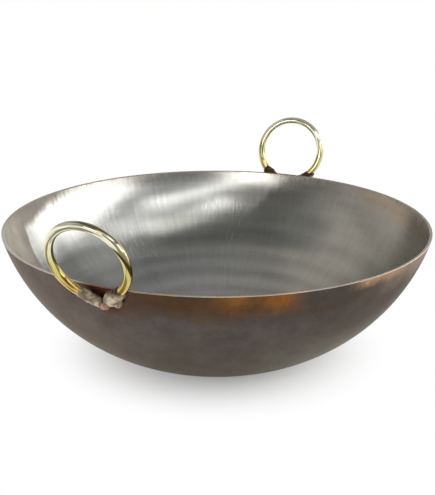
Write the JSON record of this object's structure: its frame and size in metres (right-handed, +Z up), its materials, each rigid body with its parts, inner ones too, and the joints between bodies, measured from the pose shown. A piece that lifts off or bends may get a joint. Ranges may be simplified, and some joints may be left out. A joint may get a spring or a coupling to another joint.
{
  "type": "kadai",
  "caption": "Round steel kadai: a wide, deep cooking bowl with a small flat base and brass ring handles welded to the wall.",
  "frame": {"origin": "middle of the flat underside, on the surface that the bowl stands on", "axes": "+Z up along the bowl's axis; X runs from handle to handle; Y is level across the handles"},
  "size_m": [0.4327, 0.3796, 0.1749],
  "materials": {
    "bowl_steel": "ground bright inside, dark and heat-tinted outside",
    "handle_brass": "drawn rod, lightly polished",
    "weld_metal": "rough as-laid weld metal",
    "weld_copper": "rough pinkish filler metal"
  },
  "bodies": {
    "root": {"bowl": "bowl_steel", "left_handle_ring": "handle_brass", "left_handle_round_weld": "weld_metal", "left_handle_long_weld": "weld_metal", "left_handle_tip_weld": "weld_copper", "right_handle_ring": "handle_brass", "right_handle_round_weld": "weld_metal", "right_handle_long_weld": "weld_metal", "right_handle_tip_weld": "weld_copper"}
  },
  "joints": []
}
